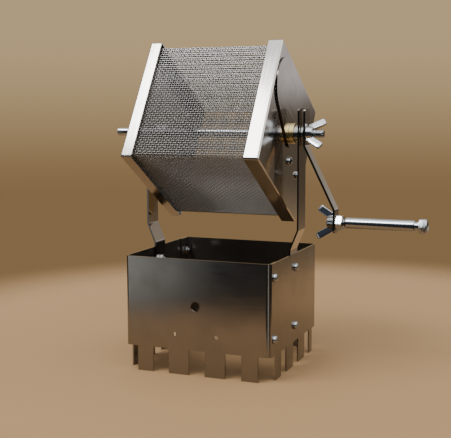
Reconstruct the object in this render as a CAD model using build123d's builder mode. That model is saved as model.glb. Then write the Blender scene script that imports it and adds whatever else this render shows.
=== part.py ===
from build123d import *
from math import cos, radians, sin, sqrt
import os

# Hand-crank coffee roaster: a square wire-screen drum turned by a crank over an open firebox.
# Millimetres. +X along the shaft towards the crank, +Y away from the front, +Z up.
# The origin is on the floor in the middle of the firebox.

# Firebox: two equal bent sheets, each a front and a side with a seam flange
base_width = 110.0
base_depth = 105.0
base_height = 82.5
sheet = 1.0
bend_radius = 3.0
seam_flange = 13.0
seam_inset = 6.6
seam_setback = 1.8

# Feet cut into the lower edge
foot_slot_width = 12.0
foot_slot_height = 18.0
front_slot_pitch = 27.5
side_slot_pitch = 27.2
side_slot_shift = 2.6
corner_slot = 9.3
end_slot = 10.4

# Holes in the front sheet
air_hole_diameter = 7.0
air_hole_height = 49.5
small_hole_diameter = 3.2
small_hole_spacing = 31.0
small_hole_height = 28.6
hole_shift = -0.8

# Uprights that carry the shaft
upright_width = 16.0
upright_sheet = 1.2
upright_foot = 21.0
upright_joggle = 5.8
joggle_above_rim = 3.5
joggle_rise = 14.0
upright_above_shaft = 17.8
strip_bend = 3.0
strip_corner = 2.0
upper_screw_below_rim = 9.9
lower_screw_height = 29.7

# Small screws and nuts, M3
screw_diameter = 3.0
screw_length = 6.0
screw_head_diameter = 6.0
screw_head_height = 2.4
screw_head_bevel = 0.9
screw_clearance = 0.2
small_nut_size = 5.5
small_nut_height = 2.4
small_nut_chamfer = 0.3

# Shaft and its hardware, M6
shaft_diameter = 6.0
shaft_left_overhang = 27.5
shaft_right_overhang = 15.7
shaft_chamfer = 0.6
running_clearance = 0.05
thread_clearance = 0.05
axial_clearance = 0.4
nut_size = 10.0
nut_height = 5.0
nut_chamfer = 0.5
washer_diameter = 12.0
washer_height = 1.55
washer_gap = 0.05
washer_bore = 6.4
bush_diameter = 14.5
bush_length = 3.2
bush_chamfer = 0.3

# Drum: two pans joined by a wire screen
drum_size = 95.2
drum_tilt = 32.0
drum_clearance = 18.9
left_gap = 7.5
left_flange = 8.4
right_flange = 10.4
cap_corner = 1.5
cap_bend = 1.2
screen_thickness = 1.0
screen_inset = 1.75
screen_end_gap = 0.3
screen_cells_long = 8
screen_cells_across = 8
screen_bar = 1.4

# Loading mouth and its swinging door
mouth_diameter = 35.0
mouth_from_back = 25.6
mouth_from_top = 21.0
door_sheet = 1.0
door_gap = 0.3
door_lap = 3.0
door_hub_radius = 10.5

# Stirring vane inside the crank-side pan
vane_from_axis = 17.3
vane_screw_near = 9.3
vane_screw_spacing = 21.8
vane_margin = 5.3
vane_foot = 10.0
vane_depth = 28.0
vane_bend = 2.0

# Crank
crank_radius = 62.5
crank_width = 10.0
crank_sheet = 1.5
crank_offset = 22.15
crank_above_shaft = 17.3
crank_below_shaft = 8.8
crank_above_handle = 9.0
crank_below_handle = 7.3

# Handle: a bolt with a turning sleeve
handle_bolt_length = 65.0
bolt_head_diameter = 10.0
bolt_head_height = 6.0
bolt_socket_size = 5.0
bolt_socket_depth = 3.0
bolt_tip = 5.4
sleeve_diameter = 8.0
sleeve_gap = 1.9
sleeve_play = 2.7
sleeve_chamfer = 0.5

# Wing nuts, M6
wing_hub_diameter = 10.8
wing_hub_height = 4.6
wing_hub_taper = 9.0
wing_slant = 31.0
wing_length = 11.9
wing_breadth = 4.8
wing_thickness = 2.6
wing_root_radius = 6.5
wing_root_height = 0.5
wing_tip_round = 0.9
crank_wing_turn = 35.0
handle_wing_turn = 13.0

# Derived places
half_width = base_width / 2
half_depth = base_depth / 2
wall_inside = half_width - sheet
seam_y = half_depth - seam_inset
shaft_radius = shaft_diameter / 2
shaft_height = base_height + drum_size / sqrt(2) + drum_clearance
screw_heights = (base_height - upper_screw_below_rim, lower_screw_height)

upright_outside = wall_inside + upright_joggle
upright_inside = upright_outside - upright_sheet
washer_pitch = washer_height + washer_gap
bush_end = upright_inside - axial_clearance - 2 * washer_pitch
door_outside = bush_end - bush_length - door_gap
right_face = door_outside - door_sheet - door_gap
left_face = left_gap - upright_inside
crank_inside = upright_outside + axial_clearance + washer_pitch
crank_outside = crank_inside + crank_sheet
handle_height = shaft_height - crank_radius
handle_inside = crank_inside + crank_offset
handle_seat = handle_inside + crank_sheet
sleeve_start = handle_seat + nut_height + sleeve_gap
bolt_head_seat = handle_inside - bolt_tip + handle_bolt_length
sleeve_length = bolt_head_seat - sleeve_play - sleeve_start

tilt = radians(drum_tilt)
down_front = Vector(0, -sin(tilt), -cos(tilt))
down_back = Vector(0, cos(tilt), -sin(tilt))
mouth_place = (mouth_from_back - drum_size / 2, mouth_from_top - drum_size / 2)
vane_screw_places = [
    (vane_from_axis, vane_screw_near),
    (vane_from_axis, vane_screw_near + vane_screw_spacing),
]
screw_hole = screw_diameter / 2 + screw_clearance
small_nut_bore = screw_diameter + 2 * thread_clearance
thread_bore = shaft_diameter + 2 * thread_clearance


def across(x, y, z, side=1, turn=0.0):
    """A plane square to the shaft at a point, facing +X or -X; turn swings its x axis from level."""
    level = Vector(0, cos(radians(turn)), sin(radians(turn)))
    return Plane(origin=(x, y, z), x_dir=level, z_dir=(side, 0, 0))


def drum_plane(x):
    """A plane square to the shaft whose axes follow the tilted drum."""
    return Plane(origin=(x, 0, shaft_height), x_dir=down_front, z_dir=(1, 0, 0))


def drum_seat(x, place, side):
    """A seat on the drum's end, facing +X or -X, at a place in the drum's own axes."""
    return Plane(origin=drum_plane(x).from_local_coords(place), x_dir=(0, 1, 0), z_dir=(side, 0, 0))


def bent_strip(points, thickness, width, radius, side, corner):
    """A flat strip folded along an outline in the XZ plane, with its end corners rounded."""
    with BuildPart() as strip:
        with BuildSketch(Plane.XZ):
            with BuildLine():
                FilletPolyline(*points, radius=radius)
                offset(amount=thickness, side=side)
            make_face()
        extrude(amount=width / 2, both=True)
        ends = strip.edges().filter_by(Axis.X).group_by(Axis.Z)
        fillet(ends[0] + ends[-1], corner)
    return strip.part


def pan_screws(seats):
    """Round-headed screws; each seat faces out of the sheet that the head rests on."""
    with BuildPart() as screws:
        for seat in seats:
            with BuildSketch(seat):
                Circle(screw_head_diameter / 2)
            head = extrude(amount=screw_head_height)
            top = head.faces().filter_by(seat).sort_by(Axis(seat.origin, seat.z_dir))[-1]
            chamfer(top.edges(), screw_head_bevel)
            with BuildSketch(seat):
                Circle(screw_diameter / 2)
            extrude(amount=-screw_length)
    return screws.part


def hex_nuts(seats, size, height, bore, edge):
    """Hexagon nuts; each seat is the face that a nut rests on and faces along the nut."""
    with BuildPart() as nuts:
        for seat in seats:
            with BuildSketch(seat):
                RegularPolygon(size / 2, 6, major_radius=False)
                Circle(bore / 2, mode=Mode.SUBTRACT)
            extrude(amount=height)
        chamfer(nuts.edges().filter_by(GeomType.LINE).filter_by(Axis.X, reverse=True), edge)
    return nuts.part


def wing_nut(seat):
    """A wing nut with two slanted flat wings; its seat faces along the nut."""
    slant = radians(wing_slant)
    along = Vector(sin(slant), cos(slant))
    out = Vector(cos(slant), -sin(slant))
    root = Vector(wing_root_radius, wing_root_height)
    tip = root + along * wing_length
    inner_tip = tip - out * wing_breadth
    inner_root = inner_tip - along * (inner_tip.Y - wing_hub_height) / along.Y
    outline = [(0, wing_root_height), root, tip, inner_tip, inner_root, (0, wing_hub_height)]
    with BuildPart() as nut:
        with BuildSketch(seat):
            Circle(wing_hub_diameter / 2)
        extrude(amount=wing_hub_height, taper=wing_hub_taper)
        with BuildSketch(Plane(origin=seat.origin, x_dir=seat.x_dir, z_dir=-seat.y_dir)):
            with BuildLine():
                Polyline(*outline, close=True)
            wing = make_face()
            tips = wing.vertices().group_by(Axis.Y)[-1] + wing.vertices().group_by(Axis.X)[-1]
            fillet(tips, wing_tip_round)
            mirror(about=Plane.YZ)
        extrude(amount=wing_thickness / 2, both=True)
        with BuildSketch(seat):
            Circle(shaft_radius + thread_clearance)
        extrude(amount=2 * wing_hub_height, mode=Mode.SUBTRACT)
    return nut.part


def end_pan(outer_x, side, flange, holes):
    """A square pan that closes one end of the drum, its flange reaching over the screen."""
    with BuildPart() as pan:
        with BuildSketch(drum_plane(outer_x)):
            RectangleRounded(drum_size, drum_size, cap_corner)
        extrude(amount=-side * flange)
        outer_face = pan.faces().sort_by(Axis((0, 0, 0), (side, 0, 0)))[-1]
        fillet(outer_face.edges(), cap_bend)
        with BuildSketch(drum_plane(outer_x - side * sheet)):
            RectangleRounded(drum_size - 2 * sheet, drum_size - 2 * sheet, cap_corner - sheet)
        extrude(amount=-side * flange, mode=Mode.SUBTRACT)
        with BuildSketch(drum_plane(outer_x)):
            for place, diameter in holes:
                with Locations(place):
                    Circle(diameter / 2)
        extrude(amount=-side * sheet, mode=Mode.SUBTRACT)
    return pan.part


# Firebox sheets

with BuildPart() as front_left_panel:
    with BuildSketch():
        with BuildLine():
            FilletPolyline(
                (-half_width, half_depth - seam_setback),
                (-half_width, -half_depth),
                (wall_inside, -half_depth),
                (wall_inside, -half_depth + seam_flange),
                radius=bend_radius,
            )
            offset(amount=sheet, side=Side.LEFT)
        make_face()
    extrude(amount=base_height)

    with BuildSketch():
        with Locations((0, -half_depth)):
            with GridLocations(front_slot_pitch, 0, 3, 1):
                Rectangle(foot_slot_width, 4 * sheet)
        with Locations((-half_width, -side_slot_shift)):
            with GridLocations(0, side_slot_pitch, 1, 3):
                Rectangle(4 * sheet, foot_slot_width)
        with Locations((-half_width, -half_depth)):
            Rectangle(2 * corner_slot, 2 * corner_slot)
        with Locations((half_width, -half_depth)):
            Rectangle(2 * corner_slot, 2 * seam_flange)
        with Locations((-half_width, half_depth)):
            Rectangle(4 * sheet, 2 * end_slot)
    extrude(amount=foot_slot_height, mode=Mode.SUBTRACT)

    with BuildSketch(Plane.XZ.offset(half_depth)):
        with Locations((hole_shift, air_hole_height)):
            Circle(air_hole_diameter / 2)
        with Locations((hole_shift, small_hole_height)):
            with GridLocations(small_hole_spacing, 0, 2, 1):
                Circle(small_hole_diameter / 2)
    extrude(amount=-bend_radius, mode=Mode.SUBTRACT)

    with BuildSketch(Plane.YZ.offset(-half_width)):
        for height in screw_heights:
            with Locations((0, height), (seam_y, height)):
                Circle(screw_hole)
    extrude(amount=bend_radius, mode=Mode.SUBTRACT)

    with BuildSketch(Plane.YZ.offset(half_width)):
        for height in screw_heights:
            with Locations((-seam_y, height)):
                Circle(screw_hole)
    extrude(amount=-bend_radius, mode=Mode.SUBTRACT)

rear_right_panel = front_left_panel.part.rotate(Axis.Z, 180)

# Uprights

joggle_low = base_height + joggle_above_rim
with BuildPart() as right_upright:
    add(
        bent_strip(
            [
                (wall_inside, upright_foot),
                (wall_inside, joggle_low),
                (upright_outside, joggle_low + joggle_rise),
                (upright_outside, shaft_height + upright_above_shaft),
            ],
            upright_sheet,
            upright_width,
            strip_bend,
            Side.LEFT,
            strip_corner,
        )
    )
    with BuildSketch(Plane.YZ.offset(wall_inside)):
        for height in screw_heights:
            with Locations((0, height)):
                Circle(screw_hole)
    extrude(amount=-upright_sheet, mode=Mode.SUBTRACT)
    with BuildSketch(Plane.YZ.offset(upright_outside)):
        with Locations((0, shaft_height)):
            Circle(shaft_radius + running_clearance)
    extrude(amount=-upright_sheet, mode=Mode.SUBTRACT)

left_upright = mirror(right_upright.part, about=Plane.YZ)

# Screws and nuts of the firebox

base_screw_seats = []
base_nut_seats = []
for side in (1, -1):
    for height in screw_heights:
        for y, grip in ((0, sheet + upright_sheet), (-side * seam_y, 2 * sheet)):
            base_screw_seats.append(across(side * half_width, y, height, side))
            base_nut_seats.append(across(side * (half_width - grip), y, height, -side))

base_screws = pan_screws(base_screw_seats)
base_nuts = hex_nuts(base_nut_seats, small_nut_size, small_nut_height, small_nut_bore, small_nut_chamfer)

# Shaft

shaft_left = -upright_outside - shaft_left_overhang
shaft_right = upright_outside + shaft_right_overhang
with BuildPart() as shaft:
    with BuildSketch(across(shaft_left, 0, shaft_height)):
        Circle(shaft_radius)
    extrude(amount=shaft_right - shaft_left)
    chamfer(shaft.edges().filter_by(GeomType.CIRCLE), shaft_chamfer)

# Drum ends and screen

shaft_hole = ((0, 0), washer_bore)
right_holes = [shaft_hole, (mouth_place, mouth_diameter)]
for place in vane_screw_places:
    right_holes.append((place, 2 * screw_hole))
right_pan = end_pan(right_face, 1, right_flange, right_holes)
left_pan = end_pan(left_face, -1, left_flange, [shaft_hole])

screen_half = drum_size / 2 - sheet - screen_inset
screen_low = left_face + sheet + screen_end_gap
screen_high = right_face - sheet - screen_end_gap
screen_long = screen_high - screen_low
screen_across = 2 * screen_half - screen_thickness
cell_long = (screen_long - screen_bar) / screen_cells_long
cell_across = (screen_across - screen_bar) / screen_cells_across
screen_faces = {
    "screen_lower_front": down_front,
    "screen_lower_back": down_back,
    "screen_upper_back": -down_front,
    "screen_upper_front": -down_back,
}
screens = {}
for name, outward in screen_faces.items():
    inner = Vector(0, 0, shaft_height) + outward * (screen_half - screen_thickness)
    with BuildPart() as screen:
        with BuildSketch(Plane(origin=inner, x_dir=(1, 0, 0), z_dir=outward)):
            with Locations(((screen_low + screen_high) / 2, screen_thickness / 2)):
                Rectangle(screen_long, screen_across)
                with GridLocations(cell_long, cell_across, screen_cells_long, screen_cells_across):
                    Rectangle(cell_long - screen_bar, cell_across - screen_bar, mode=Mode.SUBTRACT)
        extrude(amount=screen_thickness)
    screens[name] = screen.part

# Loading door, a plate that swings on the shaft

with BuildPart() as loading_door:
    with BuildSketch(drum_plane(door_outside)):
        Circle(door_hub_radius)
        with Locations(mouth_place):
            Circle(mouth_diameter / 2 + door_lap)
        make_hull()
        Circle(shaft_radius + running_clearance, mode=Mode.SUBTRACT)
    extrude(amount=-door_sheet)

# Brass bush that keeps the door on the drum

with BuildPart() as brass_bush:
    with BuildSketch(across(bush_end - bush_length, 0, shaft_height)):
        Circle(bush_diameter / 2)
    extrude(amount=bush_length)
    chamfer(brass_bush.edges().filter_by(GeomType.CIRCLE), bush_chamfer)
    with BuildSketch(across(bush_end - bush_length, 0, shaft_height)):
        Circle(shaft_radius + thread_clearance)
    extrude(amount=bush_length, mode=Mode.SUBTRACT)

# Stirring vane with its two screws and nuts

pan_inside = right_face - sheet
vane_start = vane_screw_near - vane_margin
vane_reach = vane_screw_spacing + 2 * vane_margin
with BuildPart() as stir_vane:
    vane_origin = Vector(0, 0, shaft_height) + down_back * vane_start
    with BuildSketch(Plane(origin=vane_origin, x_dir=(1, 0, 0), z_dir=down_back)):
        with BuildLine():
            FilletPolyline(
                (pan_inside, vane_from_axis - vane_foot / 2),
                (pan_inside, vane_from_axis + vane_foot / 2),
                (pan_inside - vane_depth, vane_from_axis + vane_foot / 2),
                radius=vane_bend,
            )
            offset(amount=sheet, side=Side.LEFT)
        make_face()
    extrude(amount=vane_reach)
    with BuildSketch(drum_plane(pan_inside)):
        with Locations(*vane_screw_places):
            Circle(screw_hole)
    extrude(amount=-sheet, mode=Mode.SUBTRACT)

vane_screws = pan_screws([drum_seat(right_face, place, 1) for place in vane_screw_places])
vane_nuts = hex_nuts(
    [drum_seat(pan_inside - sheet, place, -1) for place in vane_screw_places],
    small_nut_size,
    small_nut_height,
    small_nut_bore,
    small_nut_chamfer,
)

# Nuts and washers on the shaft

pan_nut_seats = [
    across(pan_inside, 0, shaft_height, -1),
    across(left_face + sheet, 0, shaft_height, 1),
    across(left_face, 0, shaft_height, -1),
]
pan_nuts = hex_nuts(pan_nut_seats, nut_size, nut_height, thread_bore, nut_chamfer)

with BuildPart() as shaft_washers:
    for x in (bush_end + washer_gap, bush_end + washer_gap + washer_pitch, crank_inside - washer_pitch):
        with BuildSketch(across(x, 0, shaft_height)):
            Circle(washer_diameter / 2)
            Circle(washer_bore / 2, mode=Mode.SUBTRACT)
        extrude(amount=washer_height)

# Crank arm with its wing nut

with BuildPart() as crank_arm:
    add(
        bent_strip(
            [
                (crank_inside, shaft_height + crank_above_shaft),
                (crank_inside, shaft_height - crank_below_shaft),
                (handle_inside, handle_height + crank_above_handle),
                (handle_inside, handle_height - crank_below_handle),
            ],
            crank_sheet,
            crank_width,
            strip_bend,
            Side.LEFT,
            strip_corner,
        )
    )
    with BuildSketch(Plane.YZ.offset(crank_inside)):
        with Locations((0, shaft_height)):
            Circle(washer_bore / 2)
    extrude(amount=crank_sheet, mode=Mode.SUBTRACT)
    with BuildSketch(Plane.YZ.offset(handle_inside)):
        with Locations((0, handle_height)):
            Circle(washer_bore / 2)
    extrude(amount=crank_sheet, mode=Mode.SUBTRACT)

crank_wing_nut = wing_nut(across(crank_outside, 0, shaft_height, 1, 90 - crank_wing_turn))

# Handle

with BuildPart() as handle_bolt:
    with BuildSketch(across(bolt_head_seat, 0, handle_height)):
        Circle(bolt_head_diameter / 2)
    extrude(amount=bolt_head_height)
    chamfer(handle_bolt.faces().sort_by(Axis.X)[-1].edges(), nut_chamfer)
    with BuildSketch(across(bolt_head_seat + bolt_head_height, 0, handle_height)):
        RegularPolygon(bolt_socket_size / 2, 6, major_radius=False)
    extrude(amount=-bolt_socket_depth, mode=Mode.SUBTRACT)
    with BuildSketch(across(bolt_head_seat, 0, handle_height)):
        Circle(shaft_radius)
    extrude(amount=-handle_bolt_length)

handle_nut = hex_nuts([across(handle_seat, 0, handle_height)], nut_size, nut_height, thread_bore, nut_chamfer)
handle_wing_nut = wing_nut(across(handle_inside, 0, handle_height, -1, 90 - handle_wing_turn))

with BuildPart() as grip_sleeve:
    with BuildSketch(across(sleeve_start, 0, handle_height)):
        Circle(sleeve_diameter / 2)
    extrude(amount=sleeve_length)
    chamfer(grip_sleeve.edges().filter_by(GeomType.CIRCLE), sleeve_chamfer)
    with BuildSketch(across(sleeve_start, 0, handle_height)):
        Circle(shaft_radius + running_clearance)
    extrude(amount=sleeve_length, mode=Mode.SUBTRACT)

# One file for each piece

pieces = {
    "front_left_panel": front_left_panel.part,
    "rear_right_panel": rear_right_panel,
    "left_upright": left_upright,
    "right_upright": right_upright.part,
    "base_screws": base_screws,
    "base_nuts": base_nuts,
    "shaft": shaft.part,
    "left_pan": left_pan,
    "right_pan": right_pan,
    "loading_door": loading_door.part,
    "brass_bush": brass_bush.part,
    "stir_vane": stir_vane.part,
    "vane_screws": vane_screws,
    "vane_nuts": vane_nuts,
    "pan_nuts": pan_nuts,
    "shaft_washers": shaft_washers.part,
    "crank_arm": crank_arm.part,
    "crank_wing_nut": crank_wing_nut,
    "handle_bolt": handle_bolt.part,
    "handle_nut": handle_nut,
    "handle_wing_nut": handle_wing_nut,
    "grip_sleeve": grip_sleeve.part,
}
pieces.update(screens)

os.makedirs("parts", exist_ok=True)
for name, piece in pieces.items():
    piece.label = name
    export_step(piece, f"parts/{name}.step")
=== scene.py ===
from math import cos, pi, radians, sin, sqrt, tan

import bmesh
import bpy
import numpy as np
from mathutils import Matrix, Vector


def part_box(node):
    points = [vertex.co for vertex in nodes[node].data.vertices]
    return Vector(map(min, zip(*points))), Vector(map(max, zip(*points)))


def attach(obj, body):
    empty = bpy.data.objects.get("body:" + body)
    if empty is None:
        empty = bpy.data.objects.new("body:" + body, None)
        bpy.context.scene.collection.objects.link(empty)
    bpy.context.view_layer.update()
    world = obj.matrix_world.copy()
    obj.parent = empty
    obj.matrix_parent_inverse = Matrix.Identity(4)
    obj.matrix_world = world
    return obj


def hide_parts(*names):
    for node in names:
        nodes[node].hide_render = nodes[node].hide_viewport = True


# Hand-crank coffee roaster: its materials, light and fine detail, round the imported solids.
# Metres. +X along the shaft towards the crank, +Y away from the front, +Z up, the floor at 0.
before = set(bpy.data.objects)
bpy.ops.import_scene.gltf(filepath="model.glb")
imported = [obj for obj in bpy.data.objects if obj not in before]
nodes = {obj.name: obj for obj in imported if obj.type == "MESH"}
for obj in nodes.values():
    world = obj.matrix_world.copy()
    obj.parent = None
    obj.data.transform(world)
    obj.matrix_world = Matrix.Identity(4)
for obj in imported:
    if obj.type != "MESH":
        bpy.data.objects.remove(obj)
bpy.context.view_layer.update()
scene = bpy.context.scene


def rgb(r, g, b):
    return (r, g, b, 1.0)


# Camera at the photograph's viewing angle
image_width_pixels = 451
focal_pixels = 922.9
shift_pixels = (-15.0, -3.5)
sensor_width = 36.0
camera_place = (0.25593, -0.62820, 0.18678)
camera_azimuth = radians(21.17)
camera_elevation = radians(6.65)
camera_near = 0.01

# Key light
key_place = Vector((-0.676, -0.962, 1.788))
key_aim = Vector((0, 0, 0.17))
key_width = 1.15
key_height = 0.45
key_power = 35.0
key_color = (1.0, 0.99, 0.97)

# Studio round the object: a colour, then steps of (from, to, next colour) by the rise of the direction
sky = rgb(0.95, 0.92, 0.87)
wall_low = rgb(0.235, 0.145, 0.066)
wall_steps = ((-0.10, 0.08, rgb(0.52, 0.375, 0.20)),)
side_low = rgb(0.39, 0.27, 0.16)
side_steps = (
    (-0.17, -0.09, rgb(0.11, 0.085, 0.06)),
    (-0.005, 0.05, rgb(0.66, 0.61, 0.59)),
    (0.07, 0.20, rgb(0.40, 0.35, 0.29)),
)
back_sky_steps = ((0.24, 0.60, sky),)
front_low = rgb(0.055, 0.052, 0.048)
front_steps = (
    (-0.5, 0.1, rgb(0.030, 0.035, 0.041)),
    (0.02, 0.30, rgb(0.080, 0.092, 0.112)),
    (0.48, 0.70, sky),
)
wall_to_side = (-0.10, 0.16)
front_to_back = (-0.30, 0.25)

# Soft lights in the studio: direction, angle of the edge, angle of the core, colour
soft_lights = (
    ((-0.66, -0.74, -0.10), radians(20.5), radians(6.0), rgb(0.95, 1.00, 1.01)),
    ((0.38, -0.72, 0.58), radians(28.0), radians(10.0), rgb(2.3, 2.3, 2.25)),
    ((0.75, 0.20, 0.63), radians(45.0), radians(15.0), rgb(2.0, 1.9, 1.75)),
    ((-0.05, -0.33, 0.94), radians(42.0), radians(24.0), rgb(3.4, 3.45, 3.5)),
)
soft_light_rise = (-0.24, -0.14)
low_light = ((0.81, -0.55, -0.21), radians(10.0), radians(4.0))
low_light_color = rgb(1.3, 1.28, 1.23)

# Floor: a disc that fades out, and whose front right corner the metals don't mirror
floor_radius = 0.9
floor_sides = 96
floor_color = rgb(0.235, 0.138, 0.058)
floor_rough = 0.8
floor_middle = (0.02, 0.08, 0.0)
floor_fade = (0.27, 0.43)
corner_direction = (0.85, -0.53, 0.0)
corner_fade = (0.13, 0.19)

# Firebox and drum, as in the solids
sheet_thickness = 0.0010
upright_thickness = 0.0012
base_height = 0.0825
firebox_middle = (0, 0, 0.041)
screw_heights = (0.0726, 0.0297)
seam_y = 0.0459
drum_size = 0.0952
drum_clearance = 0.0189
tilt = radians(32.0)
shaft_height = base_height + drum_size / sqrt(2) + drum_clearance
drum_middle = (0, 0, shaft_height)
down_front = Vector((0, -sin(tilt), -cos(tilt)))
down_back = Vector((0, cos(tilt), -sin(tilt)))
vane_from_axis = 0.0173
vane_screws_at = (0.0093, 0.0311)

# Woven screen: hoops round the drum, and rods along it
screen_half = 0.04435
screen_corner = 0.0012
screen_start = -0.0498
screen_end = 0.0489
wire_pitch = 0.00178
wire_radius = 0.00031
wire_sides = 6
hoop_wave = 0.00046
rod_wave = 0.00014
screen_flat = 2 * (screen_half - screen_corner)
screen_arc = screen_corner * pi / 2
screen_side = screen_flat + screen_arc
rod_count = 2 * round(4 * screen_side / wire_pitch / 2)
rod_gap = 4 * screen_side / rod_count
hoop_count = round((screen_end - screen_start) / wire_pitch)
hoop_gap = (screen_end - screen_start) / hoop_count

# Standard hardware, M6 and M3
big_radius = 0.0030
big_pitch = 0.0010
big_nut_size = 0.0100
big_nut_height = 0.0050
small_radius = 0.0015
small_pitch = 0.0005
small_nut_size = 0.0055
small_nut_height = 0.0024
thread_share = 0.54
rows_per_turn = 7
nut_bevel_share = 0.475
nut_bevel_slope = radians(30.0)
nut_bevel_rows = 5

# Small screws with a domed head and a cross recess
screw_length = 0.0060
screw_tip = 0.0003
screw_tip_share = 0.6
screw_plain = 0.0006
screw_head_radius = 0.0030
screw_head_height = 0.0024
screw_rim = 0.0004
screw_rim_bevel = 0.0001
screw_rim_share = 0.96
dome_shares = np.linspace(0.08, 0.95, 14)
dome_height_power = 0.9
dome_radius_power = 0.6
cross_depth = 0.0011
cross_length = 0.0032
cross_width = 0.0008
cross_taper = 0.58
base_screw_turn = 0.4
vane_screw_turn = 0.9

# Handle bolt with a knurled cap head and a hexagon socket
cap_radius = 0.0050
cap_height = 0.0060
cap_band = 0.0005
cap_edge = 0.0002
cap_bevel = 0.0007
cap_groove = 0.00016
cap_knurl = 0.00014
socket_size = 0.0050
socket_depth = 0.0030
socket_bevel = 0.0003
socket_cone = 0.0012
socket_point = 0.0004
bolt_thread = 0.0180
bolt_tip_share = 0.5
bolt_tip_step_share = 0.1

# Wing nuts: a short round hub and two slanted wings; the rows of a wing close up towards its round tip
hub_radius = 0.0054
hub_height = 0.0046
hub_edge = 0.0002
hub_edge_share = 0.96
hub_bevel = 0.0005
hub_bevel_share = 0.90
hub_top_share = 0.80
hub_pilot = 0.0010
hub_overcut = 0.0010
wing_slant = radians(31.0)
wing_root_radius = 0.0065
wing_root_height = 0.0005
wing_length = 0.0119
wing_breadth = 0.0048
wing_tip_breadth = 0.0002
wing_root_depth = 0.0015
wing_depth_loss = 0.0005
wing_tip_depth = 0.0001
wing_tip_from = 0.80
wing_breadth_powers = (3.2, 0.36)
wing_depth_powers = (4.0, 0.5)
wing_corner_power = 0.28
wing_rows = (-0.02, 0.05, 0.15, 0.3, 0.45, 0.6, 0.72, 0.82, 0.9, 0.95, 0.98, 0.995, 1.0)
crank_wing_turn = radians(35.0)
handle_wing_turn = radians(13.0)

# Brass bush with the fine rings of its turning
bush_gap = 0.00006
bush_edge = 0.00008
bush_ring = 0.00002
bush_ring_rows = 15
bush_bore = 0.0032

# Shaft, threaded where its nuts sit
shaft_end_round = 0.0006
shaft_end_step = 0.0002
left_thread_outside = 0.0065
left_thread_inside = 0.0080
right_thread_inside = 0.0080

# Steps round each turned piece, and the least angle of a sharp edge
screw_steps = 40
small_nut_steps = 36
big_nut_steps = 72
bolt_steps = 144
hub_steps = 64
wing_steps = 28
bush_steps = 96
shaft_steps = 40
sharp_angle = radians(35.0)

# Metals: smears, brush lines and soft waves, and the limits of what depends on where a face looks
smear_scale = 45.0
smear_detail = 5.0
smear_limits = (0.40, 0.72)
smear_shade = 0.88
line_detail = 3.0
line_height = 0.0001
line_share = 0.5
patch_limits = (0.3, 0.7)
wave_scale = 14.0
wave_detail = 1.0
wave_height = 0.0006
# Dark cut edges, and on the door partly a painted shadow of its gap
dark_edge_and_shadow_limits = (0.35, 0.60)
# Painted shade on a wire's crown, and a painted highlight on the flank that leads
painted_crown_shade_limits = (0.0, 0.5)
painted_flank_highlight_turn = radians(65.0)
painted_flank_highlight_limits = (0.60, 0.95)
film_limits = (-0.045, -0.030)

# Brushes: the fineness of the lines along each axis
firebox_brush = (40.0, 40.0, 2600.0)
strip_brush = (2200.0, 2200.0, 60.0)
drum_brush = (450.0, 450.0, 12.0)
brass_brush = (2600.0, 60.0, 60.0)
even_brush = (900.0, 900.0, 900.0)


# Node helpers
class Nodes:
    def __init__(self, tree):
        self.tree = tree
        tree.nodes.clear()

    def add(self, kind, inputs=None, **settings):
        node = self.tree.nodes.new(kind)
        for key, value in settings.items():
            setattr(node, key, value)
        for key, value in (inputs or {}).items():
            self.put(node.inputs[key], value)
        return node

    def put(self, socket, value):
        if isinstance(value, bpy.types.NodeSocket):
            self.tree.links.new(value, socket)
        else:
            socket.default_value = value

    def math(self, operation, a, b):
        return self.add("ShaderNodeMath", {0: a, 1: b}, operation=operation).outputs[0]

    def vector(self, operation, a, b=(0.0, 0.0, 0.0)):
        return self.add("ShaderNodeVectorMath", {0: a, 1: b}, operation=operation).outputs[0]

    def dot(self, a, b):
        return self.add("ShaderNodeVectorMath", {0: a, 1: b}, operation="DOT_PRODUCT").outputs["Value"]

    def length(self, a):
        return self.add("ShaderNodeVectorMath", {0: a}, operation="LENGTH").outputs["Value"]

    def axes(self, a):
        return self.add("ShaderNodeSeparateXYZ", {0: a}).outputs

    def span(self, value, limits, results=(0.0, 1.0)):
        """A smooth step between two results, over the limits of a value."""
        ends = {"From Min": limits[0], "From Max": limits[1], "To Min": results[0], "To Max": results[1]}
        inputs = {"Value": value, **ends}
        return self.add("ShaderNodeMapRange", inputs, interpolation_type="SMOOTHSTEP").outputs[0]

    def blend(self, factor, a, b):
        """A mix of two colours, which are the node's inputs 6 and 7."""
        node = self.add("ShaderNodeMix", data_type="RGBA")
        self.put(node.inputs["Factor"], factor)
        self.put(node.inputs[6], a)
        self.put(node.inputs[7], b)
        return node.outputs[2]

    def noise(self, place, scale, detail):
        return self.add("ShaderNodeTexNoise", {"Vector": place, "Scale": scale, "Detail": detail}).outputs[0]

    def stretch(self, place, scale, turn):
        size = tuple(1 / s for s in scale)
        inputs = {"Vector": place, "Rotation": (turn, 0.0, 0.0), "Scale": size}
        return self.add("ShaderNodeMapping", inputs, vector_type="TEXTURE").outputs[0]

    def bump(self, height, strength, distance, normal=None):
        inputs = {"Height": height, "Strength": strength, "Distance": distance}
        if normal is not None:
            inputs["Normal"] = normal
        return self.add("ShaderNodeBump", inputs).outputs[0]

    def camera_ray(self):
        return self.add("ShaderNodeLightPath").outputs["Is Camera Ray"]

    def surface(self, kind, shader):
        out = self.add(kind)
        self.put(out.inputs["Surface"], shader.outputs[0])


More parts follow.
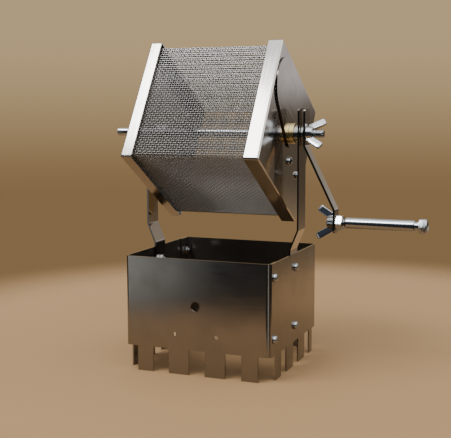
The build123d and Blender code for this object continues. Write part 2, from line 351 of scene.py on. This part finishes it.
# Camera, light and floor
def make_camera():
    data = bpy.data.cameras.new("camera")
    data.sensor_fit = "HORIZONTAL"
    data.sensor_width = sensor_width
    data.lens = sensor_width * focal_pixels / image_width_pixels
    data.shift_x = shift_pixels[0] / image_width_pixels
    data.shift_y = shift_pixels[1] / image_width_pixels
    data.clip_start = camera_near
    camera = bpy.data.objects.new("camera", data)
    scene.collection.objects.link(camera)
    camera.location = camera_place
    level = cos(camera_elevation)
    look = Vector((-sin(camera_azimuth) * level, cos(camera_azimuth) * level, -sin(camera_elevation)))
    camera.rotation_euler = look.to_track_quat("-Z", "Y").to_euler()
    scene.camera = camera


def make_world():
    """A warm wall behind, a lighter side on the right, a dark room in front, and soft lights."""
    world = bpy.data.worlds.new("studio")
    scene.world = world
    world.use_nodes = True
    n = Nodes(world.node_tree)
    direction = n.add("ShaderNodeTexCoord").outputs["Generated"]
    right, back, up = n.axes(direction)

    def climb(color, steps):
        """A colour that changes with the rise of the direction."""
        for low, high, next_color in steps:
            color = n.blend(n.span(up, (low, high)), color, next_color)
        return color

    def glow(middle, edge, core):
        """The share of a light in the direction, full inside its core."""
        near = n.dot(direction, Vector(middle).normalized())
        return n.span(near, (cos(edge), cos(core)))

    wall = climb(wall_low, wall_steps)
    side = climb(side_low, side_steps)
    around = climb(n.blend(n.span(right, wall_to_side), wall, side), back_sky_steps)
    around = n.blend(n.span(back, front_to_back), climb(front_low, front_steps), around)
    above_floor = n.span(up, soft_light_rise)
    for middle, edge, core, color in soft_lights:
        around = n.blend(n.math("MULTIPLY", glow(middle, edge, core), above_floor), around, color)
    around = n.blend(glow(*low_light), around, low_light_color)
    # The camera itself sees the plain wall all round
    around = n.blend(n.camera_ray(), around, wall)
    n.surface("ShaderNodeOutputWorld", n.add("ShaderNodeBackground", {"Color": around, "Strength": 1.0}))


def make_key_light():
    data = bpy.data.lights.new("key", "AREA")
    data.shape = "RECTANGLE"
    data.size = key_width
    data.size_y = key_height
    data.energy = key_power
    data.color = key_color
    light = bpy.data.objects.new("key", data)
    scene.collection.objects.link(light)
    light.location = key_place
    light.rotation_euler = (key_aim - key_place).to_track_quat("-Z", "Y").to_euler()


def floor_paper():
    material = bpy.data.materials.new("floor_paper")
    material.use_nodes = True
    n = Nodes(material.node_tree)
    place = n.add("ShaderNodeTexCoord").outputs["Object"]
    fade = n.span(n.length(n.vector("SUBTRACT", place, floor_middle)), floor_fade)
    mirrored = n.math("SUBTRACT", 1.0, n.camera_ray())
    corner = n.span(n.dot(place, corner_direction), corner_fade)
    fade = n.math("MAXIMUM", fade, n.math("MULTIPLY", mirrored, corner))
    paper = n.add("ShaderNodeBsdfPrincipled", {"Base Color": floor_color, "Roughness": floor_rough})
    clear = n.add("ShaderNodeBsdfTransparent")
    both = n.add("ShaderNodeMixShader", {0: fade, 1: paper.outputs[0], 2: clear.outputs[0]})
    n.surface("ShaderNodeOutputMaterial", both)
    return material


def make_floor():
    turns = 2 * pi * np.arange(floor_sides) / floor_sides
    ring = [(floor_radius * cos(turn), floor_radius * sin(turn), 0.0) for turn in turns]
    mesh = bpy.data.meshes.new("floor")
    mesh.from_pydata(ring, [], [list(range(floor_sides))])
    mesh.materials.append(floor_paper())
    floor = bpy.data.objects.new("floor", mesh)
    scene.collection.objects.link(floor)


# Metals
def paint_dark_edge_and_shadow(n, shade, normal, dark_edge_and_shadow):
    """A dark colour for the faces along the shaft: cut edges, and on the door partly a painted shadow of the
    gap behind it.
    """
    facing = n.math("ABSOLUTE", n.axes(normal)[0], 0.0)
    return n.blend(n.span(facing, dark_edge_and_shadow_limits), rgb(*dark_edge_and_shadow), shade)


def paint_wire_light(n, shade, normal, offset, painted_crown_shade, painted_flank_highlight):
    """Painted light and shade on a wire's sides.

    The crown looks away from the shaft and gets a painted shade. The flank leads as the drum turns
    and gets a painted highlight.
    """
    radial = n.vector("NORMALIZE", n.vector("MULTIPLY", offset, (0.0, 1.0, 1.0)))
    shade = n.blend(n.span(n.dot(radial, normal), painted_crown_shade_limits), shade, rgb(*painted_crown_shade))
    turn = {"Vector": radial, "Angle": painted_flank_highlight_turn}
    lead = n.add("ShaderNodeVectorRotate", turn, rotation_type="X_AXIS").outputs[0]
    return n.blend(n.span(n.dot(lead, normal), painted_flank_highlight_limits), shade, rgb(*painted_flank_highlight))


def film_metallic(n, normal, offset, film):
    """A thin film of soot on the faces that look at the middle."""
    level = n.vector("MULTIPLY", offset, (1.0, 1.0, 0.0))
    return n.span(n.dot(level, normal), film_limits, (1.0 - film, 1.0))


def bow_relief(n, place, offset, bow):
    """A slight bow of a sheet, highest nearest to the middle, with soft waves."""
    waves = n.math("MULTIPLY", n.noise(place, wave_scale, wave_detail), wave_height)
    fall = n.math("MULTIPLY", n.dot(offset, offset), bow)
    return n.bump(n.math("SUBTRACT", waves, fall), 1.0, 1.0)


def metal(
    name, color, rough, brush, bump,
    turn=0.0, middle=None, bow=0.0, dark_edge_and_shadow=None, painted_crown_shade=None, painted_flank_highlight=None, film=0.0,
):
    """Metal with smears, and fine brush lines along the axis that brush scales least, turned round X.

    A bow, a wire's painted shade and highlight, and a film are laid out from a middle.
    """
    material = bpy.data.materials.new(name)
    material.use_nodes = True
    n = Nodes(material.node_tree)
    coordinates = n.add("ShaderNodeTexCoord")
    place = coordinates.outputs["Object"]
    normal = coordinates.outputs["Normal"]
    offset = n.vector("SUBTRACT", place, middle) if middle else None
    lines = n.noise(n.stretch(place, brush, turn), 1.0, line_detail)
    smears = n.noise(place, smear_scale, smear_detail)
    patches = n.math("MULTIPLY", smears, 1.0 - line_share)
    patches = n.math("ADD", n.math("MULTIPLY", lines, line_share), patches)
    smeared = [smear_shade * c for c in color]
    shade = n.blend(n.span(smears, smear_limits), rgb(*color), rgb(*smeared))
    # Dark cut edges, and on the door partly a painted shadow of its gap
    if dark_edge_and_shadow:
        shade = paint_dark_edge_and_shadow(n, shade, normal, dark_edge_and_shadow)
    # A painted shade on a wire's crown and a painted highlight on its flank
    if painted_crown_shade:
        shade = paint_wire_light(n, shade, normal, offset, painted_crown_shade, painted_flank_highlight)
    metallic = film_metallic(n, normal, offset, film) if film else 1.0
    relief = bow_relief(n, place, offset, bow) if bow else None
    inputs = {
        "Base Color": shade,
        "Metallic": metallic,
        "Roughness": n.span(patches, patch_limits, rough),
        "Normal": n.bump(lines, bump, line_height, relief),
    }
    n.surface("ShaderNodeOutputMaterial", n.add("ShaderNodeBsdfPrincipled", inputs))
    return material


def drum_metal(name, turn, dark_edge_and_shadow):
    return metal(
        name,
        color=(0.62, 0.60, 0.58),
        rough=(0.08, 0.20),
        brush=drum_brush,
        bump=0.03,
        turn=turn,
        middle=drum_middle,
        bow=0.30,
        dark_edge_and_shadow=dark_edge_and_shadow,
    )


# Wire with a painted shade on its crown and a painted highlight on its flank
def wire_metal(name, painted_crown_shade):
    return metal(
        name,
        color=(0.30, 0.285, 0.27),
        rough=(0.28, 0.40),
        brush=even_brush,
        bump=0.0,
        middle=drum_middle,
        painted_crown_shade=painted_crown_shade,
        painted_flank_highlight=(0.40, 0.395, 0.39),
    )


def dress(material, *names):
    for name in names:
        data = nodes[name].data
        data.materials.clear()
        data.materials.append(material)


# Turned pieces: rows of points round +Z, joined by quads
def grid_quads(rows, steps, closed):
    """Quads between rows of points, each row a ring; closed joins the last row to the first."""
    row, step = np.meshgrid(np.arange(rows if closed else rows - 1), np.arange(steps), indexing="ij")
    here = row * steps
    there = (row + 1) % rows * steps
    beside = (step + 1) % steps
    return np.stack([here + step, here + beside, there + beside, there + step], -1).reshape(-1, 4)


def grid_mesh(name, points, closed):
    """A closed mesh from rows of points, its ends capped, or joined where closed is true."""
    rows, steps = points.shape[:2]
    faces = grid_quads(rows, steps, closed).tolist()
    if not closed:
        faces.append(list(range(steps))[::-1])
        faces.append(list(range((rows - 1) * steps, rows * steps)))
    mesh = bpy.data.meshes.new(name)
    mesh.from_pydata(points.reshape(-1, 3).tolist(), [], faces)
    return mesh


def turned(name, rows, steps, closed=False):
    """Rows are (height, radius); a radius may be one value or one for each step."""
    turns = 2 * pi * np.arange(steps) / steps
    points = np.zeros((len(rows), steps, 3))
    for i, (height, radius) in enumerate(rows):
        points[i, :, 0] = radius * np.cos(turns)
        points[i, :, 1] = radius * np.sin(turns)
        points[i, :, 2] = height
    return grid_mesh(name, points, closed)


def thread_rows(low, high, radius, pitch, steps, inside=False):
    """Rows of a helical thread between two heights, its crests at the radius."""
    turns = np.arange(steps) / steps
    rows = []
    for height in np.linspace(low, high, max(2, round(rows_per_turn * (high - low) / pitch))):
        wave = np.abs(2 * ((height / pitch - turns) % 1.0) - 1)
        fade = min(1.0, (height - low) / pitch, (high - height) / pitch)
        cut = thread_share * pitch * fade * wave
        rows.append((height, radius + cut if inside else radius - cut))
    return rows


def hex_radius(size, steps):
    turns = 2 * pi * np.arange(steps) / steps
    return size / 2 / np.cos((turns % (pi / 3)) - pi / 6)


def hex_rows(height, size, steps):
    """Rows of a hexagon from 0 to its height, its corners turned off at both ends."""
    corner = hex_radius(size, steps)
    start = nut_bevel_share * size
    spread = corner.max() - start
    bevel = []
    for share in np.linspace(0, 1, nut_bevel_rows):
        radius = np.minimum(corner, start + share * spread)
        bevel.append((share * spread * tan(nut_bevel_slope), radius))
    return bevel + [(height - rise, radius) for rise, radius in bevel[::-1]]


def hex_nut(size, height, radius, pitch, steps):
    """A nut from 0 to its height, with a countersunk threaded bore."""
    sink = thread_share * pitch
    bore = [(height, radius + sink)]
    bore += thread_rows(sink, height - sink, radius - sink, pitch, steps, True)[::-1]
    bore += [(0.0, radius + sink)]
    return turned("nut", hex_rows(height, size, steps) + bore, steps, True)


def cap_bolt(length):
    """A bolt with a knurled round head above height 0, a hexagon socket, and a thread at its tip."""
    steps = bolt_steps
    knurl = cap_radius - cap_knurl * (np.arange(steps) % 2)
    groove = cap_radius - cap_groove
    drive = hex_radius(socket_size, steps)
    socket_floor = cap_height - socket_depth
    rows = [(-length, big_radius - thread_share * big_pitch)]
    rows += [(-length + bolt_tip_share * big_pitch, big_radius - bolt_tip_step_share * big_pitch)]
    rows += thread_rows(-length + big_pitch, bolt_thread - length, big_radius, big_pitch, steps)
    rows += [(0.0, big_radius), (0.0, groove - cap_edge), (cap_edge, groove), (cap_band, groove)]
    rows += [(cap_band + cap_edge, knurl), (cap_height - 2 * cap_band, knurl)]
    rows += [(cap_height - 2 * cap_band + cap_edge, groove), (cap_height - cap_band, groove)]
    rows += [(cap_height - cap_edge / 2, groove - 2 * cap_edge), (cap_height, groove - cap_bevel)]
    rows += [(cap_height, drive + socket_bevel), (cap_height - socket_bevel, drive), (socket_floor, drive)]
    rows += [(socket_floor - socket_cone, socket_point)]
    return turned("bolt", rows, steps)


def combine(base, tool, operation):
    """The boolean of two meshes, as a new mesh."""
    holder = bpy.data.objects.new("holder", base)
    cutter = bpy.data.objects.new("cutter", tool)
    scene.collection.objects.link(holder)
    scene.collection.objects.link(cutter)
    change = holder.modifiers.new("change", "BOOLEAN")
    change.object = cutter
    change.operation = operation
    change.solver = "EXACT"
    graph = bpy.context.evaluated_depsgraph_get()
    result = bpy.data.meshes.new_from_object(holder.evaluated_get(graph))
    bpy.data.objects.remove(holder)
    bpy.data.objects.remove(cutter)
    return result


def cross_cutter(middle):
    """A tapered cross that cuts the drive recess, at its true width at the middle height."""
    a = cross_length / 2
    b = cross_width / 2
    corners = [(a, b), (b, b), (b, a)]
    outline = []
    for quarter in range(4):
        outline += corners
        corners = [(-y, x) for x, y in corners]
    rows = []
    for end in (-1, 1):
        grow = 1 + end * cross_taper
        rows.append([(grow * x, grow * y, middle + end * cross_depth) for x, y in outline])
    return grid_mesh("cross", np.array(rows), False)


def pan_screw():
    """A small screw with a domed head and a cross recess; the head rests at height 0."""
    steps = screw_steps
    rows = [(-screw_length, screw_tip_share * small_radius)]
    rows += thread_rows(screw_tip - screw_length, -screw_plain, small_radius, small_pitch, steps)
    rows += [(0.0, small_radius), (0.0, screw_rim_share * screw_head_radius)]
    rows += [(screw_rim_bevel, screw_head_radius)]
    for turn in dome_shares * pi / 2:
        height = screw_rim + (screw_head_height - screw_rim) * sin(turn) ** dome_height_power
        rows.append((height, screw_head_radius * cos(turn) ** dome_radius_power))
    return combine(turned("screw", rows, steps), cross_cutter(screw_head_height), "DIFFERENCE")


def squared(wave):
    """A wave drawn towards its limits, which makes a round section a rounded rectangle."""
    return (np.sign(wave) * np.abs(wave) ** wing_corner_power)[:, None]


def round_off(close, powers):
    """A share that falls from 1 to 0 as a wing closes to its tip."""
    return (1 - close ** powers[0]) ** powers[1]


def wing_blade(side):
    steps = wing_steps
    turns = 2 * pi * np.arange(steps) / steps
    along = np.array((side * sin(wing_slant), 0.0, cos(wing_slant)))
    out = np.array((side * cos(wing_slant), 0.0, -sin(wing_slant)))
    thick = np.array((0.0, 1.0, 0.0))
    middle = np.array((side * wing_root_radius, 0.0, wing_root_height)) - out * wing_breadth / 2
    points = np.zeros((len(wing_rows), steps, 3))
    for i, share in enumerate(wing_rows):
        close = max(0.0, (share - wing_tip_from) / (1 - wing_tip_from))
        width = wing_breadth / 2 * round_off(close, wing_breadth_powers) + wing_tip_breadth
        depth = wing_root_depth - wing_depth_loss * share
        depth = depth * round_off(close, wing_depth_powers) + wing_tip_depth
        section = width * squared(np.cos(turns)) * out + depth * squared(np.sin(turns)) * thick
        points[i] = middle + along * wing_length * share + section
    if side < 0:
        points = points[:, ::-1]
    return grid_mesh("blade", points, False)


def wing_nut():
    steps = hub_steps
    outside = [(0.0, hub_edge_share * hub_radius), (hub_edge, hub_radius)]
    outside += [(hub_height - hub_bevel, hub_bevel_share * hub_radius)]
    outside += [(hub_height, hub_top_share * hub_radius)]
    nut = turned("hub", outside + [(hub_height, hub_pilot), (0.0, hub_pilot)], steps, True)
    for side in (1, -1):
        nut = combine(nut, wing_blade(side), "UNION")
    sink = thread_share * big_pitch
    bore = [(-hub_overcut, big_radius + sink), (0.0, big_radius + sink)]
    bore += thread_rows(sink, hub_height - sink, big_radius - sink, big_pitch, steps, True)
    bore += [(hub_height, big_radius + sink), (2 * hub_height, big_radius + sink)]
    return combine(nut, turned("bore", bore, steps), "DIFFERENCE")


# Pieces placed on the solids' seats
def seat(x, y, z, side=1, turn=0.0):
    """The matrix that stands a piece on a plane square to the shaft, facing +X or -X."""
    axis = Vector((side, 0, 0))
    level = Vector((0, cos(turn), sin(turn)))
    matrix = Matrix((level, axis.cross(level), axis)).transposed().to_4x4()
    matrix.translation = (x, y, z)
    return matrix


def place_copies(name, mesh, seats, material, body, node):
    """One piece made of copies of a mesh, each on its own seat, that stands for a node."""
    joined = bmesh.new()
    for matrix in seats:
        copy = mesh.copy()
        copy.transform(matrix)
        joined.from_mesh(copy)
        bpy.data.meshes.remove(copy)
    result = bpy.data.meshes.new(name)
    joined.to_mesh(result)
    joined.free()
    result.polygons.foreach_set("use_smooth", np.ones(len(result.polygons), dtype=bool))
    result.set_sharp_from_angle(angle=sharp_angle)
    result.materials.append(material)
    piece = bpy.data.objects.new(name, result)
    scene.collection.objects.link(piece)
    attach(piece, body)
    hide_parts(node)


# Woven wire screen, one closed sleeve of crossing wires
def wire_tubes(paths, closed):
    """Round tubes along paths, each an array of points with its outward and its onward directions."""
    turns = 2 * pi * np.arange(wire_sides) / wire_sides
    out_share = np.cos(turns)[None, :, None]
    across_share = np.sin(turns)[None, :, None]
    verts = []
    faces = []
    start = 0
    for points, outward, onward in paths:
        onward = onward / np.linalg.norm(onward, axis=1)[:, None]
        across = np.cross(onward, outward)
        ring = out_share * outward[:, None, :] + across_share * across[:, None, :]
        verts.append((points[:, None, :] + wire_radius * ring).reshape(-1, 3))
        faces.append(grid_quads(len(points), wire_sides, closed) + start)
        start += len(points) * wire_sides
    return np.concatenate(verts), np.concatenate(faces)


def screen_outline(way):
    """Points and outward directions along the way round the screen, in the drum's own axes."""
    side = np.floor(way / screen_side).astype(int)
    along = way - side * screen_side
    turn = np.clip((along - screen_flat) / screen_arc, 0, 1) * pi / 2
    a_out = np.cos(turn)
    b_out = np.sin(turn)
    a = screen_half - screen_corner + screen_corner * a_out
    b = np.minimum(along, screen_flat) - screen_flat / 2 + screen_corner * b_out
    cosine = np.array([1, 0, -1, 0])[side % 4]
    sine = np.array([0, 1, 0, -1])[side % 4]
    points = (cosine * a - sine * b, sine * a + cosine * b)
    outward = (cosine * a_out - sine * b_out, sine * a_out + cosine * b_out)
    return points, outward


def screen_path(x, way, lift):
    """Points of a wire at x and a way round the screen, lifted off its face, with outward directions."""
    (a, b), (a_out, b_out) = screen_outline(way)
    a_axis = np.array(down_front)
    b_axis = np.array(down_back)
    shaft = np.array((1.0, 0.0, 0.0))
    outward = a_out[:, None] * a_axis + b_out[:, None] * b_axis
    points = np.array(drum_middle) + x[:, None] * shaft
    points = points + a[:, None] * a_axis + b[:, None] * b_axis + lift[:, None] * outward
    return points, outward


def hoop_paths():
    way = np.arange(2 * rod_count) * rod_gap / 2
    paths = []
    for i in range(hoop_count):
        x = np.full_like(way, screen_start + (i + 0.5) * hoop_gap)
        points, outward = screen_path(x, way, hoop_wave * np.cos(pi * (way / rod_gap + i)))
        paths.append((points, outward, np.roll(points, -1, 0) - np.roll(points, 1, 0)))
    return paths


def rod_paths():
    x = screen_start + np.arange(2 * hoop_count + 1) * hoop_gap / 2
    paths = []
    for j in range(rod_count):
        lift = -rod_wave * np.cos(pi * ((x - screen_start) / hoop_gap - 0.5 + j))
        points, outward = screen_path(x, np.full_like(x, j * rod_gap), lift)
        paths.append((points, outward, np.gradient(points, axis=0)))
    return paths


def make_screen(weft, warp):
    hoop_verts, hoop_faces = wire_tubes(hoop_paths(), True)
    rod_verts, rod_faces = wire_tubes(rod_paths(), False)
    verts = np.concatenate([hoop_verts, rod_verts])
    faces = np.concatenate([hoop_faces, rod_faces + len(hoop_verts)])
    kinds = np.repeat(np.array([0, 1], dtype=np.int32), [len(hoop_faces), len(rod_faces)])
    mesh = bpy.data.meshes.new("woven_screen")
    mesh.vertices.add(len(verts))
    mesh.vertices.foreach_set("co", verts.ravel())
    mesh.loops.add(faces.size)
    mesh.loops.foreach_set("vertex_index", faces.ravel().astype(np.int32))
    mesh.polygons.add(len(faces))
    mesh.polygons.foreach_set("loop_start", np.arange(0, faces.size, 4, dtype=np.int32))
    mesh.polygons.foreach_set("use_smooth", np.ones(len(faces), dtype=bool))
    mesh.update(calc_edges=True)
    mesh.validate()
    mesh.materials.append(weft)
    mesh.materials.append(warp)
    mesh.polygons.foreach_set("material_index", kinds)
    screen = bpy.data.objects.new("woven_screen", mesh)
    scene.collection.objects.link(screen)
    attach(screen, "drum")
    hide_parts("screen_lower_front", "screen_lower_back", "screen_upper_back", "screen_upper_front")


# Fasteners
def make_base_fasteners(screw, nut):
    """The screws through the uprights and through the seams, with their nuts inside."""
    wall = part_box("rear_right_panel")[1].x
    screw_seats = []
    nut_seats = []
    for side in (1, -1):
        upright = (0.0, sheet_thickness + upright_thickness)
        seam = (-side * seam_y, 2 * sheet_thickness)
        for height in screw_heights:
            for y, grip in (upright, seam):
                screw_seats.append(seat(side * wall, y, height, side, base_screw_turn))
                nut_seats.append(seat(side * (wall - grip), y, height, -side))
    place_copies("base_screws_domed", screw, screw_seats, zinc, "base", "base_screws")
    place_copies("base_nuts_cut", nut, nut_seats, zinc, "base", "base_nuts")


def make_vane_fasteners(screw, nut):
    """The two screws through the right pan and the foot of the vane, with their nuts."""
    screw_seats = []
    nut_seats = []
    for way in vane_screws_at:
        middle = Vector(drum_middle) + vane_from_axis * down_front + way * down_back
        screw_seats.append(seat(right_face, middle.y, middle.z, 1, vane_screw_turn))
        nut_seats.append(seat(right_face - 2 * sheet_thickness, middle.y, middle.z, -1))
    place_copies("vane_screws_domed", screw, screw_seats, zinc, "drum", "vane_screws")
    place_copies("vane_nuts_cut", nut, nut_seats, zinc, "drum", "vane_nuts")


def make_pan_nuts(nut):
    """The nuts on the shaft, inside the right pan and on both sides of the left one."""
    seats = [
        seat(right_face - sheet_thickness, 0, shaft_height, -1),
        seat(left_face + sheet_thickness, 0, shaft_height, 1),
        seat(left_face, 0, shaft_height, -1),
    ]
    place_copies("pan_nuts_cut", nut, seats, zinc, "drum", "pan_nuts")


def make_handle(nut):
    nut_seat = seat(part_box("handle_nut")[0].x, 0, handle_height)
    place_copies("handle_nut_cut", nut, [nut_seat], zinc, "drum", "handle_nut")
    bolt_low, bolt_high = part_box("handle_bolt")
    head_at = bolt_high.x - cap_height
    bolt = cap_bolt(head_at - bolt_low.x)
    bolt_seat = seat(head_at, 0, handle_height)
    place_copies("handle_bolt_cut", bolt, [bolt_seat], zinc, "drum", "handle_bolt")


def make_wing_nuts():
    """One faces out on the shaft, and one faces in at the handle, with their wings turned from upright."""
    nut = wing_nut()
    crank_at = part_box("crank_wing_nut")[0].x
    crank_seat = seat(crank_at, 0, shaft_height, 1, pi / 2 - crank_wing_turn)
    place_copies("crank_wing_nut_cast", nut, [crank_seat], zinc, "drum", "crank_wing_nut")
    handle_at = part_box("handle_wing_nut")[1].x
    handle_seat = seat(handle_at, 0, handle_height, -1, pi / 2 - handle_wing_turn)
    place_copies("handle_wing_nut_cast", nut, [handle_seat], zinc, "drum", "handle_wing_nut")


def make_bush():
    low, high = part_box("brass_bush")
    radius = (high.z - low.z) / 2
    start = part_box("loading_door")[1].x + bush_gap
    length = high.x - start
    rows = [(0.0, radius - bush_edge)]
    for i, height in enumerate(np.linspace(bush_edge, length - bush_edge, bush_ring_rows)):
        rows.append((height, radius - bush_ring * (i % 2)))
    rows += [(length, radius - bush_edge), (length, bush_bore), (0.0, bush_bore)]
    bush = turned("bush", rows, bush_steps, True)
    bush_seat = seat(start, 0, shaft_height)
    place_copies("brass_bush_turned", bush, [bush_seat], brass, "drum", "brass_bush")


def make_shaft():
    steps = shaft_steps
    low, high = (corner.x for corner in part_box("shaft"))
    left_thread = (left_face - left_thread_outside, left_face + left_thread_inside)
    right_thread = (right_face - right_thread_inside, high - shaft_end_round)
    rows = [(low, big_radius - shaft_end_round), (low + shaft_end_round, big_radius)]
    rows += thread_rows(*left_thread, big_radius, big_pitch, steps)
    rows += thread_rows(*right_thread, big_radius, big_pitch, steps)
    rows += [(high - shaft_end_round, big_radius - shaft_end_step), (high, big_radius - shaft_end_round)]
    shaft = turned("shaft", rows, steps)
    shaft_seat = seat(0, 0, shaft_height)
    place_copies("shaft_turned", shaft, [shaft_seat], zinc, "drum", "shaft")


make_camera()
make_world()
make_floor()
make_key_light()

# Materials
firebox_steel = metal(
    "firebox_steel",
    color=(0.25, 0.23, 0.205),
    rough=(0.12, 0.22),
    brush=firebox_brush,
    bump=0.015,
    middle=firebox_middle,
    bow=0.30,
    film=0.08,
)
strip_steel = metal(
    "strip_steel",
    color=(0.46, 0.425, 0.38),
    rough=(0.10, 0.20),
    brush=strip_brush,
    bump=0.03,
    dark_edge_and_shadow=(0.16, 0.15, 0.135),
)
drum_steel = drum_metal("drum_steel", turn=-tilt, dark_edge_and_shadow=(0.28, 0.27, 0.26))
# The door's near-black edges are partly a painted shadow of the gap between the door and the pan
door_steel = drum_metal("door_steel", turn=pi / 2 - tilt, dark_edge_and_shadow=(0.05, 0.045, 0.04))
vane_steel = metal(
    "vane_steel",
    color=(0.26, 0.24, 0.22),
    rough=(0.22, 0.36),
    brush=drum_brush,
    bump=0.05,
    turn=-tilt,
)
# Hoops and rods are the same wire; the rods' crowns get a deeper painted shade than the hoops'
weft_steel = wire_metal("weft_steel", painted_crown_shade=(0.22, 0.213, 0.206))
warp_steel = wire_metal("warp_steel", painted_crown_shade=(0.155, 0.151, 0.147))
zinc = metal(
    "bright_zinc",
    color=(0.35, 0.365, 0.385),
    rough=(0.07, 0.16),
    brush=even_brush,
    bump=0.02,
)
brass = metal(
    "turned_brass",
    color=(0.66, 0.53, 0.26),
    rough=(0.16, 0.28),
    brush=brass_brush,
    bump=0.05,
)

# The solids that stay in view
dress(firebox_steel, "front_left_panel", "rear_right_panel")
dress(strip_steel, "left_upright", "right_upright", "crank_arm")
dress(drum_steel, "left_pan", "right_pan")
dress(door_steel, "loading_door")
dress(vane_steel, "stir_vane")
dress(zinc, "shaft_washers", "grip_sleeve")

# The pieces that replace solids
left_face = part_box("left_pan")[0].x
right_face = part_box("right_pan")[1].x
handle_height = sum(corner.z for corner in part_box("handle_nut")) / 2
domed_screw = pan_screw()
small_nut = hex_nut(small_nut_size, small_nut_height, small_radius, small_pitch, small_nut_steps)
big_nut = hex_nut(big_nut_size, big_nut_height, big_radius, big_pitch, big_nut_steps)
make_screen(weft_steel, warp_steel)
make_base_fasteners(domed_screw, small_nut)
make_vane_fasteners(domed_screw, small_nut)
make_pan_nuts(big_nut)
make_handle(big_nut)
make_wing_nuts()
make_bush()
make_shaft()
